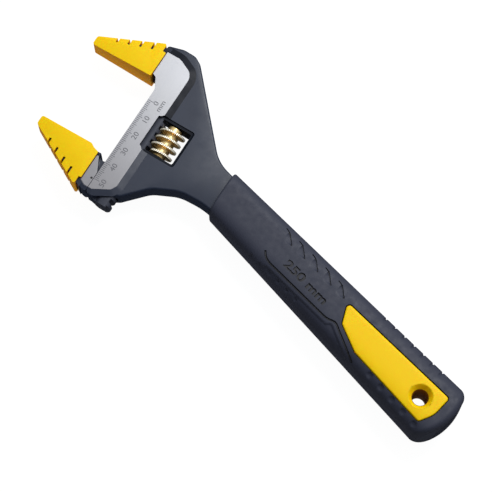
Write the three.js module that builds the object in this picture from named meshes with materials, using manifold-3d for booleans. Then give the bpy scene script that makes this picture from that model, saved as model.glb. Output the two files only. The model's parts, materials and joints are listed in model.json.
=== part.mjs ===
// Adjustable wrench, nominal size 250 mm, with a wide jaw, soft jaw caps and a two-component grip.
// Millimetres, +Z up, the wrench lying on its back: +X runs along the handle towards its free end.
//
// Two frames share the part. The handle frame has X along the handle's axis. The head frame is the
// handle frame turned by HEAD_ANGLE: its x runs from the jaw tips towards the handle, its y is the
// direction in which the movable jaw closes, and its origin is the scale's zero mark on the head's edge.
// In both, z = 0 is the middle plane of the steel.

import * as THREE from "three";
import { mergeVertices } from "three/addons/utils/BufferGeometryUtils.js";
import Module from "manifold-3d";

const wasm = await Module();
wasm.setup();

// ---- driving dimensions ----

const ARC_STEPS = 8; // straight steps in each rounded corner
const GAP = 0.3; // running clearance, and the space left between pieces that touch
const CLEAR = 90; // far enough for a cut to run out of any piece
const HEAD_ANGLE = THREE.MathUtils.degToRad(15.5); // jaws to handle
const HEAD_ORIGIN = new THREE.Vector2(-91.2, 6.5); // zero mark, in the handle frame

const WEB_HALF = 5.3; // half thickness of the black head
const LAND_HALF = 6.2; // half thickness over the ground steel land that carries the scale
const LAND_SLOPE = 3.5; // width of the slope from the land down to the web
const LAND_WIDTH = 12; // land, from the head's open edge inwards
const EDGE_ROUND = 1.2; // rounding along the forging's edges

const JAW_TOP = 13.4; // working face of the fixed steel jaw
const JAW_OPENING = 50.3; // between the two steel faces at rest, which is the widest setting
const JAW_BOTTOM = JAW_TOP - JAW_OPENING; // working face of the movable steel jaw
const JAW_TIP = -38.5;
const ARM_HALF_TIP = 4.1; // half thickness of a jaw arm at its tip and at its root
const ARM_HALF_ROOT = 6;
const ARM_ROOT = -5.6; // where the arms leave the lands
const CAP_WALL = 2; // cap wall over the working face and round the outline
const CAP_SKIN = 1; // cap wall over the front and back faces
const CAP_TIP = JAW_TIP - CAP_WALL - 0.4;
const CAP_SLOTS = {
  count: 4,
  pitch: 5.85,
  width: 1.2,
  depth: 4.2, // of the slot nearest the root
  step: 0.6, // each slot is this much shallower than the one before
  fixedFirst: -13.2,
  movableFirst: -12.8,
};

const NECK_HALF = 2.5; // the thin web that joins the movable jaw to its rack
const NECK_SHOULDER = -37.6; // its highest edge, inside the head
const CLOSING = 46; // travel from rest until the caps meet

const RACK_X = 10.2; // axis of the round rack bar
const RACK_R = 4.7;
const RACK_FLAT = 4.3; // half thickness over the flats on its front and back
const RACK_LOW = -59.3;
const RACK_HIGH = -3.5;

const WORM_X = 19.7; // axis of the worm
const WORM_R = 6.9;
const WORM_CORE_R = 3.9;
const WORM_PITCH = 4.2;
const WORM_LOW = -22.6;
const WORM_HIGH = -4.8;
const THREAD_CREST = 0.6; // half widths of the thread at its crest and at its core
const THREAD_ROOT = 1.15;
const THREAD_FRONT = -8.4; // where one turn's crest crosses the front of the worm

const WORM_PLAY = 0.5; // between each end of the worm and the window
const WINDOW = { left: 9.6, right: 28.9, low: WORM_LOW - WORM_PLAY, high: WORM_HIGH + WORM_PLAY };
const MOUTH = 1.5; // how far the window is relieved round its edge, and how deep
const MOUTH_DEPTH = 0.7;

const PIN_R = 1.7;
const PIN_HEAD_R = 2.4;
const PIN_LOW = -29.5;
const PIN_SHOULDER = 5;
const PIN_HIGH = 13;
const SPRING_R = 2.45; // mean radius of the coil
const SPRING_WIRE = 0.3; // radius of the wire
const SPRING_TURNS = 3.5;
const SPRING_POCKET = 4.6; // depth of the worm's counterbore

const GRIP_FRONT = -28.5;
const GRIP_SKEW = -0.266; // the front edge leans back with the head
const GRIP_END_R = 31; // the grip's end is an arc about (GRIP_END_X, GRIP_END_Y)
const GRIP_END_X = 100.4;
const GRIP_END_Y = 1.2;
const GRIP_WALL = 3; // outer grip layer
const GRIP_ROUND = 3; // rounding round the end
const CORE_FRONT = -12;
const TANG_END = 104;
const TANG_HALF_WIDTH = 7.5;
const TANG_HALF = 3.5;
const NECK_WIDTH_HALF = 10.3; // the steel between head and grip
const HANG_HOLE = { x: 113.7, y: -1.6, r: 3.9, mouth: 6, funnel: 3.6 };
const INLAY_GROOVE = 0.45; // round the inlay
const NOTCHES = { count: 7, first: 74.2, pitch: 6.33, r: 0.9 };

// ---- solids ----

function solidOf(geometry) {
  const bare = geometry.index ? geometry.toNonIndexed() : geometry.clone();
  bare.deleteAttribute("normal");
  bare.deleteAttribute("uv");
  const merged = mergeVertices(bare, 1e-4);
  const corners = merged.index.array;
  const kept = [];
  for (let i = 0; i < corners.length; i += 3) {
    const [a, b, c] = corners.slice(i, i + 3);
    if (a !== b && b !== c && c !== a) kept.push(a, b, c);
  }
  const vertProperties = merged.attributes.position.array;
  return new wasm.Manifold(new wasm.Mesh({ numProp: 3, vertProperties, triVerts: new Uint32Array(kept) }));
}

function geometryOf(solid) {
  const { vertProperties, triVerts } = solid.getMesh();
  const geometry = new THREE.BufferGeometry();
  geometry.setAttribute("position", new THREE.BufferAttribute(vertProperties, 3));
  geometry.setIndex(new THREE.BufferAttribute(triVerts, 1));
  const flat = geometry.toNonIndexed();
  flat.computeVertexNormals();
  return flat;
}

const union = (...solids) => solids.reduce((all, one) => all.add(one));
const cut = (solid, ...cutters) => cutters.reduce((rest, one) => rest.subtract(one), solid);

// A closed outline from corners [x, y, radius], each corner rounded by its own radius.
function roundedShape(corners) {
  const shape = new THREE.Shape();
  corners.forEach(([x, y, radius = 0], i) => {
    const corner = new THREE.Vector2(x, y);
    const before = new THREE.Vector2(...corners.at(i - 1).slice(0, 2)).sub(corner).normalize();
    const after = new THREE.Vector2(...corners[(i + 1) % corners.length].slice(0, 2)).sub(corner).normalize();
    const half = Math.acos(THREE.MathUtils.clamp(before.dot(after), -1, 1)) / 2;
    const start = corner.clone().addScaledVector(before, radius / Math.tan(half));
    if (i === 0) shape.moveTo(start.x, start.y);
    else shape.lineTo(start.x, start.y);
    if (radius === 0) return;
    const end = corner.clone().addScaledVector(after, radius / Math.tan(half));
    const middle = before.clone().add(after).normalize();
    const centre = corner.clone().addScaledVector(middle, radius / Math.sin(half));
    const from = start.clone().sub(centre).angle();
    const to = end.clone().sub(centre).angle();
    shape.absarc(centre.x, centre.y, radius, from, to, before.cross(after) > 0);
  });
  shape.closePath();
  return shape;
}

// A flat piece about z = 0 whose edges are rounded by `round`.
function plate(corners, halfThickness, round = 0) {
  const geometry = new THREE.ExtrudeGeometry(roundedShape(corners), {
    depth: 2 * (halfThickness - round),
    bevelEnabled: round > 0,
    bevelThickness: round,
    bevelSize: round,
    bevelOffset: -round,
    bevelSegments: 4,
    curveSegments: ARC_STEPS,
  });
  return geometry.translate(0, 0, round - halfThickness);
}

// The same, with its half thickness running linearly along x, as [x, half thickness] at two places.
function taperedPlate(corners, [x0, half0], [x1, half1]) {
  const geometry = plate(corners, half1);
  const position = geometry.attributes.position;
  for (let i = 0; i < position.count; i++) {
    const half = half0 + ((position.getX(i) - x0) * (half1 - half0)) / (x1 - x0);
    position.setZ(i, (position.getZ(i) * half) / half1);
  }
  return geometry;
}

function box(x0, x1, y0, y1, z0, z1) {
  const geometry = new THREE.BoxGeometry(x1 - x0, y1 - y0, z1 - z0);
  return geometry.translate((x0 + x1) / 2, (y0 + y1) / 2, (z0 + z1) / 2);
}

// A cylinder along the head frame's y, from low to high.
function rod(x, radius, low, high, segments = 24) {
  return new THREE.CylinderGeometry(radius, radius, high - low, segments).translate(x, (low + high) / 2, 0);
}

// A skin over a row of closed rings with equal numbers of points. Each end closes in strips, from one
// side of its ring to the other, so the end rings are convex.
function loft(rings) {
  const n = rings[0].length;
  const points = rings.flat().flatMap((v) => [v.x, v.y, v.z]);
  const faces = [];
  for (let r = 0; r + 1 < rings.length; r++) {
    for (let i = 0; i < n; i++) {
      const [a, b] = [r * n + i, r * n + ((i + 1) % n)];
      faces.push(a, b, b + n, a, b + n, a + n);
    }
  }
  const last = (rings.length - 1) * n;
  for (let i = 0; i < n / 2; i++) {
    const [a, b, c, d] = [i, i + 1, n - 1 - i, (n - i) % n];
    if (b !== c) {
      faces.push(a, c, b);
      faces.push(last + a, last + b, last + c);
    }
    if (d !== a) {
      faces.push(a, d, c);
      faces.push(last + a, last + c, last + d);
    }
  }
  const geometry = new THREE.BufferGeometry();
  geometry.setAttribute("position", new THREE.Float32BufferAttribute(points, 3));
  geometry.setIndex(faces);
  return geometry;
}

// ---- wrench body: fixed jaw, head, neck and tang in one forging ----

// A point of the handle frame, in the head frame.
function inHead(x, y) {
  const point = new THREE.Vector2(x, y).sub(HEAD_ORIGIN).rotateAround(new THREE.Vector2(), -HEAD_ANGLE);
  return [point.x, point.y];
}

const headOutline = [
  [0, 6.5, 4],
  [0, -57.9, 1.6],
  [4, -57.9, 3],
  [16, -51.2, 3],
  [27, -39.4, 16],
  [40, -33.2, 20],
  [...inHead(-30, -NECK_WIDTH_HALF), 40],
  inHead(-14, -NECK_WIDTH_HALF),
  inHead(-14, NECK_WIDTH_HALF),
  [...inHead(-42, NECK_WIDTH_HALF), 22],
  [10, 33.2, 9],
  [1, 33.4, 8],
  [-7.3, 31, 1.6],
  [-7.3, 26.5],
  [ARM_ROOT + GAP, 26.5],
  [ARM_ROOT + GAP, JAW_TOP],
  [-3.2, JAW_TOP - 0.9, 1.2],
];

// It runs past the head's open edge, where the edge itself ends it.
const landOutline = [
  [-9, -55.3],
  [2, -55.3],
  [10.4, -50.6, 2.5],
  [LAND_WIDTH, -47.6, 2.5],
  [LAND_WIDTH, 20.5, 6],
  [10, 23.8, 4],
  [2.5, 27.3, 7],
  [-9, 27.3],
];

// The raised land with a slope round it, kept within the outline that carries it.
function slopedLand(outline, within) {
  const land = new THREE.ExtrudeGeometry(roundedShape(outline), {
    depth: 2 * WEB_HALF,
    bevelThickness: LAND_HALF - WEB_HALF,
    bevelSize: LAND_SLOPE,
    bevelSegments: 1,
    curveSegments: ARC_STEPS,
  });
  const raised = solidOf(land.translate(0, 0, -WEB_HALF));
  return raised.intersect(solidOf(plate(within, LAND_HALF)));
}

// Cuts for the worm's window, with a shallow relief round it on the two faces.
function windowCutters() {
  const { left, right, low, high } = WINDOW;
  const corner = 0.8;
  const opening = [
    [left, low, corner],
    [right, low, corner],
    [right, high, corner],
    [left, high, corner],
  ];
  const flare = [
    [left, low + 1],
    [left + MOUTH + 1, low - MOUTH],
    [right + MOUTH, low - MOUTH, 1.5],
    [right + MOUTH, high + MOUTH, 1.5],
    [left + MOUTH + 1, high + MOUTH],
    [left, high - 1],
  ];
  const mouth = plate(flare, LAND_HALF);
  const reach = LAND_HALF + WEB_HALF - MOUTH_DEPTH;
  const front = mouth.clone().translate(0, 0, reach);
  const back = mouth.clone().translate(0, 0, -reach);
  return [plate(opening, CLEAR), front, back].map(solidOf);
}

// The outer edge of each cap, along its length. The arm beneath it follows the same line.
const FIXED_EDGE = (x) => 30.8 + 0.432 * (x + 7.6);
const MOVABLE_EDGE = (x) => -58 - 0.532 * (x + 6.9);

// A jaw arm under its cap, running a little into its root. Grown by `extra`, it is the cap's pocket,
// which runs further, so that it opens towards the root.
function jawArm(working, edge, extra) {
  const up = Math.sign(edge(ARM_ROOT) - working);
  const root = ARM_ROOT + 1.5 + 4 * extra;
  const slant = 1.1; // the outer edge slopes, so a gap across it is this much longer along y
  const outer = (x) => edge(x) - up * (CAP_WALL - slant * extra);
  const corners = [
    [JAW_TIP - extra, working - up * extra],
    [root, working - up * extra],
    [root, outer(root)],
    [JAW_TIP - extra, outer(JAW_TIP)],
  ];
  if (up < 0) corners.reverse();
  return solidOf(taperedPlate(corners, [JAW_TIP, ARM_HALF_TIP + extra], [ARM_ROOT, ARM_HALF_ROOT + extra]));
}

function wrenchBody() {
  const web = solidOf(plate(headOutline, WEB_HALF, EDGE_ROUND));
  const keep = solidOf(box(ARM_ROOT + GAP, CLEAR, -CLEAR, CLEAR, -CLEAR, CLEAR));
  const land = slopedLand(landOutline, headOutline).intersect(keep);
  const tangCorners = [
    inHead(-24, -TANG_HALF_WIDTH),
    [...inHead(TANG_END, -TANG_HALF_WIDTH), 3],
    [...inHead(TANG_END, TANG_HALF_WIDTH), 3],
    inHead(-24, TANG_HALF_WIDTH),
  ];
  const tang = solidOf(plate(tangCorners, TANG_HALF));
  const arm = jawArm(JAW_TOP, FIXED_EDGE, 0);
  const rackBore = rod(RACK_X, RACK_R + GAP, -CLEAR, CLEAR, 32);
  const neckSlotTop = NECK_SHOULDER + CLOSING + 2 * GAP;
  const neckSlot = box(-1, RACK_X, -CLEAR, neckSlotTop, -NECK_HALF - GAP, NECK_HALF + GAP);
  const pinBore = rod(WORM_X, PIN_R + GAP, PIN_LOW - 1, PIN_SHOULDER + 1);
  const pinMouth = rod(WORM_X, PIN_HEAD_R + GAP, PIN_SHOULDER - GAP, CLEAR);
  return cut(
    union(web, land, tang, arm),
    ...[rackBore, neckSlot, pinBore, pinMouth].map(solidOf),
    ...windowCutters(),
  );
}

// ---- movable jaw: arm, root, neck and toothed rack bar in one piece ----

const rootOutline = [
  [ARM_ROOT + GAP, JAW_BOTTOM, 0.6],
  [ARM_ROOT + GAP, -53.6],
  [-6.3, -53.6],
  [-6.3, -56],
  [-3, -57.4, 3],
  [-GAP, -57.8, 1],
  [-GAP, -46.5, 3],
];

const rootLandOutline = [
  [-9, JAW_BOTTOM],
  [-9, -52],
  [-5.5, -53.8, 2],
  [-2.5, -55.4, 2],
  [3, -55.6],
  [3, -52.8],
  [-GAP, -46.5],
  [ARM_ROOT + GAP, JAW_BOTTOM],
];

const neckOutline = [
  [-8, JAW_BOTTOM - 0.5],
  [-8, -50],
  [-3, -57, 4],
  [5, -59.1, 4],
  [RACK_X, RACK_LOW],
  [RACK_X, NECK_SHOULDER],
  [1, NECK_SHOULDER, 2],
  [-2.5, NECK_SHOULDER - 1.5, 3],
  [-5.5, JAW_BOTTOM - 0.5, 1],
];

// Grooves across the bar that let the worm's thread through, leaning with the thread.
function rackGrooves() {
  const lean = WORM_PITCH / (2 * Math.PI * ((WORM_R + WORM_CORE_R) / 2));
  const floor = WORM_X - WORM_R - GAP;
  const mouth = WORM_X - WORM_CORE_R;
  const play = 0.4;
  const profile = [
    [floor, -THREAD_CREST - play],
    [mouth, -THREAD_ROOT - play],
    [mouth, THREAD_ROOT + play],
    [floor, THREAD_CREST + play],
  ];
  const first = THREAD_FRONT - WORM_PITCH / 4; // the thread crosses the rack a quarter turn from the front
  const grooves = [];
  for (let y = first + WORM_PITCH; y > RACK_LOW - WORM_PITCH / 2; y -= WORM_PITCH) {
    if (y > RACK_HIGH + WORM_PITCH / 2) continue;
    const groove = plate(profile, RACK_R + 1);
    groove.applyMatrix4(new THREE.Matrix4().makeShear(0, 0, 0, 0, 0, lean));
    grooves.push(solidOf(groove.translate(0, y, 0)));
  }
  return grooves;
}

function movableJaw() {
  const root = solidOf(plate(rootOutline, WEB_HALF, 0.5));
  const land = slopedLand(rootLandOutline, rootOutline);
  const arm = jawArm(JAW_BOTTOM, MOVABLE_EDGE, 0);
  const neck = solidOf(plate(neckOutline, NECK_HALF, 0.5));
  const round = solidOf(rod(RACK_X, RACK_R, RACK_LOW, RACK_HIGH, 32));
  const bar = round.intersect(solidOf(box(0, CLEAR, -CLEAR, CLEAR, -RACK_FLAT, RACK_FLAT)));
  const trim = solidOf(box(-CLEAR, -GAP, -CLEAR, 0, -CLEAR, CLEAR));
  return cut(union(union(root, land, arm).intersect(trim), neck, bar), ...rackGrooves());
}

// ---- jaw caps ----

const fixedCapOutline = [
  [CAP_TIP, JAW_TOP - CAP_WALL, 1.2],
  [ARM_ROOT, JAW_TOP - CAP_WALL, 0.5],
  [ARM_ROOT, 26.1, 0.5],
  [-7.6, 26.1],
  [-7.6, 30.8, 0.9],
  [CAP_TIP, 16.4, 1.6],
];

const movableCapOutline = [
  [CAP_TIP, JAW_BOTTOM + CAP_WALL, 1.2],
  [CAP_TIP, -39.9, 1.6],
  [-6.9, -58, 0.9],
  [-6.9, -53.2],
  [ARM_ROOT, -53.2, 0.5],
  [ARM_ROOT, -37.3, 0.8],
  [-8.8, -36.3, 0.8],
  [-11, JAW_BOTTOM + CAP_WALL, 0.8],
];

// A cap slips over its arm. Slots across its outer edge, deeper towards the root, let it flex.
function jawCap(outline, working, edge, slotFirst) {
  const tip = [JAW_TIP, ARM_HALF_TIP + GAP + CAP_SKIN];
  const root = [ARM_ROOT, ARM_HALF_ROOT + GAP + CAP_SKIN];
  const shell = solidOf(taperedPlate(outline, tip, root));
  const up = Math.sign(edge(ARM_ROOT) - working);
  const slots = [];
  for (let i = 0; i < CAP_SLOTS.count; i++) {
    const x = slotFirst - i * CAP_SLOTS.pitch;
    const half = CAP_SLOTS.width / 2;
    const floor = edge(x) - up * (CAP_SLOTS.depth - i * CAP_SLOTS.step);
    const beyond = up * CLEAR;
    const [low, high] = [Math.min(floor, beyond), Math.max(floor, beyond)];
    slots.push(solidOf(box(x - half, x + half, low, high, -CLEAR, CLEAR)));
  }
  return cut(shell, jawArm(working, edge, GAP), ...slots);
}

// ---- worm, its pin and its spring ----

// The thread: a four-sided ridge wound round the core, thinned to nothing at each end.
function wormThread() {
  const steps = 24;
  const start = WORM_LOW + THREAD_ROOT + 0.1;
  const end = WORM_HIGH - THREAD_ROOT - 0.1;
  const count = Math.round((steps * (end - start)) / WORM_PITCH);
  const rings = [];
  for (let i = 0; i <= count; i++) {
    const y = THREE.MathUtils.lerp(start, end, i / count);
    const turn = (2 * Math.PI * (y - THREAD_FRONT)) / WORM_PITCH;
    const fade = Math.min(1, i / 4, (count - i) / 4);
    const crest = THREE.MathUtils.lerp(WORM_CORE_R + 0.2, WORM_R, fade);
    const inner = WORM_CORE_R - 0.4; // its foot is sunk into the core
    const at = (radius, offset) => {
      return new THREE.Vector3(WORM_X + radius * Math.sin(turn), y + offset, radius * Math.cos(turn));
    };
    rings.push([
      at(inner, -THREAD_ROOT),
      at(inner, THREAD_ROOT),
      at(crest, THREAD_CREST),
      at(crest, -THREAD_CREST),
    ]);
  }
  return loft(rings);
}

function worm() {
  const core = solidOf(rod(WORM_X, WORM_CORE_R, WORM_LOW, WORM_HIGH, 32));
  const bore = solidOf(rod(WORM_X, PIN_R + GAP, WORM_LOW - 1, WORM_HIGH + 1));
  const pocketR = SPRING_R + SPRING_WIRE + GAP;
  const pocket = solidOf(rod(WORM_X, pocketR, WORM_LOW - 1, WORM_LOW + SPRING_POCKET));
  return cut(union(core, solidOf(wormThread())), bore, pocket);
}

function wormPin() {
  const shank = solidOf(rod(WORM_X, PIN_R, PIN_LOW, PIN_SHOULDER + 1));
  const head = solidOf(rod(WORM_X, PIN_HEAD_R, PIN_SHOULDER, PIN_HIGH));
  const driverSlot = solidOf(box(WORM_X - 3, WORM_X + 3, PIN_HIGH - 1, CLEAR, -0.4, 0.4));
  return cut(union(shank, head), driverSlot);
}

function wormSpring() {
  const sides = 6;
  const steps = Math.round(14 * SPRING_TURNS);
  const low = WINDOW.low + GAP + SPRING_WIRE;
  const high = WORM_LOW + SPRING_POCKET - GAP - SPRING_WIRE;
  const rings = [];
  for (let i = 0; i <= steps; i++) {
    const turn = (2 * Math.PI * SPRING_TURNS * i) / steps;
    const y = THREE.MathUtils.lerp(low, high, i / steps);
    const ring = [];
    for (let k = 0; k < sides; k++) {
      const around = (2 * Math.PI * k) / sides;
      const radius = SPRING_R + SPRING_WIRE * Math.cos(around);
      const offset = -SPRING_WIRE * Math.sin(around);
      ring.push(new THREE.Vector3(WORM_X + radius * Math.sin(turn), y + offset, radius * Math.cos(turn)));
    }
    rings.push(ring);
  }
  return solidOf(loft(rings));
}

// ---- grip, in the handle frame ----

const gripHalfWidth = (x) => 12.4 + 0.028 * (x + 28);
const gripHalfThickness = (x) => 10.4 + 0.0165 * (x + 28);

// One cross-section: a superellipse whose points may lie on a leaning or curved surface, x = along(y).
function gripRing(along, halfWidth, halfThickness) {
  const sides = 28;
  const power = 2 / 2.9;
  const ring = [];
  for (let i = 0; i < sides; i++) {
    const a = (2 * Math.PI * i) / sides;
    const y = halfWidth * Math.sign(Math.cos(a)) * Math.abs(Math.cos(a)) ** power;
    const z = halfThickness * Math.sign(Math.sin(a)) * Math.abs(Math.sin(a)) ** power;
    ring.push(new THREE.Vector3(along(y), y, z));
  }
  return ring;
}

// The grip's body, its sides and end drawn in by `inset`.
function gripBody(front, skew, inset) {
  const rings = [];
  const length = 100 - front;
  for (const share of [0, 0.2, 0.45, 0.7, 1]) {
    const x = front + share * length;
    const along = (y) => x + skew * (1 - share) * y;
    rings.push(gripRing(along, gripHalfWidth(x) - inset, gripHalfThickness(x) - inset));
  }
  const endX = (y) => GRIP_END_X + Math.sqrt(GRIP_END_R ** 2 - (y - GRIP_END_Y) ** 2);
  const at = GRIP_END_X + 0.8 * GRIP_END_R; // the end takes its width and thickness from here
  for (const degrees of [0, 30, 60, 90]) {
    const a = THREE.MathUtils.degToRad(degrees);
    const drawn = GRIP_ROUND * (1 - Math.cos(a)) + inset;
    const along = (y) => endX(y) - inset - GRIP_ROUND * (1 - Math.sin(a));
      rings.push(gripRing(along, gripHalfWidth(at) - drawn, gripHalfThickness(at) - drawn));
  }
  return solidOf(loft(rings));
}

const inlayOutline = [
  [57.2, 5.5, 1.6],
  [57.4, 3.2, 1.5],
  [62, -4.2, 3],
  [76.5, -9.5, 4],
  [121.6, -11, 1.6],
  [124.6, -3.5, 12],
  [123.9, 7.6, 1.6],
];

function inlayPrism(grow) {
  return solidOf(
    new THREE.ExtrudeGeometry(roundedShape(inlayOutline), {
      depth: CLEAR,
      bevelThickness: 0.01,
      bevelSize: 0,
      bevelOffset: grow,
      bevelSegments: 1,
      curveSegments: ARC_STEPS,
    }).translate(0, 0, -CLEAR / 2),
  );
}

const tangRoom = () => {
  const w = TANG_HALF_WIDTH + GAP;
  return solidOf(box(-CLEAR, TANG_END + GAP, -w, w, -TANG_HALF - GAP, TANG_HALF + GAP));
};

// The hard inner grip, which comes through the outer layer as an inlay on each face.
function gripCore() {
  const sleeve = gripBody(CORE_FRONT, 0, GRIP_WALL + GAP);
  const inlays = inlayPrism(0).intersect(gripBody(CORE_FRONT, 0, 0.1));
  const { x, y, r, mouth, funnel: depth } = HANG_HOLE;
  const bore = new THREE.CylinderGeometry(r, r, CLEAR, 32).rotateX(Math.PI / 2).translate(x, y, 0);
  const funnel = new THREE.CylinderGeometry(2 * mouth - r, r, 2 * depth, 32).rotateX(Math.PI / 2);
  const surface = gripHalfThickness(x) - 0.2;
  const front = funnel.clone().translate(x, y, surface);
  const back = funnel.clone().rotateY(Math.PI).translate(x, y, -surface);
  return cut(union(sleeve, inlays), tangRoom(), ...[bore, front, back].map(solidOf));
}

function gripOvermould() {
  const outer = gripBody(GRIP_FRONT, GRIP_SKEW, 0);
  const room = gripBody(CORE_FRONT - GAP, 0, GRIP_WALL);
  const w = NECK_WIDTH_HALF + GAP;
  const shankRoom = solidOf(box(-CLEAR, CORE_FRONT, -w, w, -WEB_HALF - GAP, WEB_HALF + GAP));
  const notches = [];
  for (let i = 0; i < NOTCHES.count; i++) {
    const x = NOTCHES.first + i * NOTCHES.pitch;
    const notch = new THREE.CylinderGeometry(NOTCHES.r, NOTCHES.r, 12, 10).rotateX(Math.PI / 2);
    notches.push(solidOf(notch.translate(x, gripHalfWidth(x) + 0.2, 0)));
  }
  return cut(outer, room, shankRoom, inlayPrism(INLAY_GROOVE), ...notches);
}

// ---- assembly ----

const FINISH = {
  blackSteel: { color: 0x34373f, roughness: 0.45, metalness: 0.6 },
  zincSteel: { color: 0xb4b6ba, roughness: 0.35, metalness: 1 },
  brass: { color: 0xd0a548, roughness: 0.3, metalness: 1 },
  yellowPlastic: { color: 0xf6d50c, roughness: 0.45, metalness: 0 },
  greyRubber: { color: 0x44464f, roughness: 0.7, metalness: 0 },
};

function piece(name, solid, finish) {
  const mesh = new THREE.Mesh(geometryOf(solid), new THREE.MeshStandardMaterial(finish));
  mesh.name = name;
  return mesh;
}

const fixedCap = jawCap(fixedCapOutline, JAW_TOP, FIXED_EDGE, CAP_SLOTS.fixedFirst);
const movableCap = jawCap(movableCapOutline, JAW_BOTTOM, MOVABLE_EDGE, CAP_SLOTS.movableFirst);

const head = new THREE.Group();
head.position.set(HEAD_ORIGIN.x, HEAD_ORIGIN.y, 0);
head.rotation.z = HEAD_ANGLE;
head.add(
  piece("wrench_body", wrenchBody(), FINISH.blackSteel),
  piece("movable_jaw", movableJaw(), FINISH.blackSteel),
  piece("fixed_jaw_cap", fixedCap, FINISH.yellowPlastic),
  piece("movable_jaw_cap", movableCap, FINISH.yellowPlastic),
  piece("worm", worm(), FINISH.brass),
  piece("worm_pin", wormPin(), FINISH.zincSteel),
  piece("worm_spring", wormSpring(), FINISH.zincSteel),
);

const handle = new THREE.Group();
handle.add(
  head,
  piece("grip_core", gripCore(), FINISH.yellowPlastic),
  piece("grip_overmould", gripOvermould(), FINISH.greyRubber),
);

// The origin is the middle of the whole part's footprint, on the surface it lies on.
const extent = new THREE.Box3().setFromObject(handle, true);
handle.position.set(-(extent.min.x + extent.max.x) / 2, -(extent.min.y + extent.max.y) / 2, -extent.min.z);

const wrench = new THREE.Group();
wrench.add(handle);

export default wrench;
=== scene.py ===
"""Adjustable wrench lying on a pale floor: the looks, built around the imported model.

Lengths are in millimetres until a mesh is placed, and in metres after that. Two frames are used:
  head    x runs from the jaw tips towards the handle, y is the way the movable jaw closes,
          and the origin is the scale's zero mark
  handle  x runs along the handle towards its free end, y towards the fixed jaw's side
In both, z = 0 is the middle plane of the steel.
"""

import json
import math

import bmesh
import bpy
import numpy as np
from mathutils import Matrix, Vector
from mathutils.geometry import delaunay_2d_cdt


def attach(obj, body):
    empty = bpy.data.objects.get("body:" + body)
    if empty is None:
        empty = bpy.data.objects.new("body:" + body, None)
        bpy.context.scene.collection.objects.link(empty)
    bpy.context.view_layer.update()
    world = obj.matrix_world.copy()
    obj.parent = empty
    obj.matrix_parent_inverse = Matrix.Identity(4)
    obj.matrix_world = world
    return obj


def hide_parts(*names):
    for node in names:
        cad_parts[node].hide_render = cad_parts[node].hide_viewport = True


MM = 0.001
IMAGE_SIDE = 492
WORLD_DARK, WORLD_BRIGHT = 0.03, 1.0
SKY_TINT = (0.9, 0.94, 1, 1)

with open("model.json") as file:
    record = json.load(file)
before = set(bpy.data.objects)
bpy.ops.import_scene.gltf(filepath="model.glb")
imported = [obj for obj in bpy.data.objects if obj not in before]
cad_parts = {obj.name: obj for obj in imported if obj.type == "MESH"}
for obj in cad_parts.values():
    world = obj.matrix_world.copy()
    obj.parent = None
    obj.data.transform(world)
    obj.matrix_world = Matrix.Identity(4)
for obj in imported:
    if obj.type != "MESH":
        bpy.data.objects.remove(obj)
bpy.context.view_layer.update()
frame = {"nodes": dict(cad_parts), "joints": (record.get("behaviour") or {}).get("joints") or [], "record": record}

# ---- the two frames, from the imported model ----

joints = {joint["name"]: joint for joint in frame["joints"]}
mounts = {mount["name"]: mount for mount in frame["record"]["mounts"]}

CLOSING_WAY = Vector(joints["jaw_slide"]["axis"])
INWARD_WAY = CLOSING_WAY.cross(Vector((0, 0, 1)))
HEAD_TURN = math.atan2(INWARD_WAY.y, INWARD_WAY.x)
WORM_CENTRE = Vector((19.7, -13.7, 0))  # in the head frame
HANG_HOLE = Vector((113.7, -1.6, 0))  # in the handle frame


def frame_matrix(x_way, y_way, known_local, known_metres):
    """The matrix from a local frame in millimetres to the shared frame in metres."""
    turn = Matrix((x_way, y_way, (0, 0, 1))).transposed()
    origin = Vector(known_metres) - turn @ known_local * MM
    return Matrix.Translation(origin) @ turn.to_4x4() @ Matrix.Scale(MM, 4)


TO_HEAD = frame_matrix(INWARD_WAY, CLOSING_WAY, WORM_CENTRE, joints["worm_spin"]["pos_m"])
TO_HANDLE = frame_matrix((1, 0, 0), (0, 1, 0), HANG_HOLE, mounts["hang_hole"]["pos_m"])

# ---- sizes of the pieces that are remade here, in millimetres ----

LAND_HALF = 6.2  # the ground steel's face above the middle plane
LAND_TILT = math.atan2(0.9, 3.5)  # slope from the land down to the black face
LAND_RIM = 0.42  # width of the rounded rim between the land and its slope
SLOPE_LOW = -18  # below this y of the head frame the slope drops its painted shade and is black like the web
RACK_FROM = 5.2  # the jaw's rack bar lies beyond this x of the head frame
CAP_ROUND = 0.4  # rounding of the caps' corners

WINDOW_LOW, WINDOW_HIGH = Vector((9.3, -25)), Vector((31, -2.4))  # box round the worm's window
RELIEF_LEVEL = 4.7  # the relief round the window lies below this

SCALE_END = 50
TICK_FROM, TICK_HALF_WIDTH = 0.3, 0.15
TICK_SHORT, TICK_MEDIUM, TICK_LONG = 1.9, 2.5, 2.9
DIGIT_HEIGHT, DIGIT_STRETCH = 2.8, 1.12
DOT_X, DOT_Y, DOT_R = -1.2, -50.4, 0.62

WORM_PITCH = 4.2
WORM_LOW, WORM_HIGH = -22.6, -4.8  # its two ends, along y of the head frame
WORM_R, WORM_CORE_R, WORM_BORE_R = 6.9, 3.9, 2.0
WORM_POCKET_R, WORM_POCKET_DEPTH = 3.05, 4.6
THREAD_FRONT = -8.4  # y where the fin's crest comes round to the worm's front
THREAD_CREST, THREAD_ROOT = 0.45, 0.85  # half widths of the fin at its top and at its foot
KNURLS, KNURL_DEPTH = 44, 0.16

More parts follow.
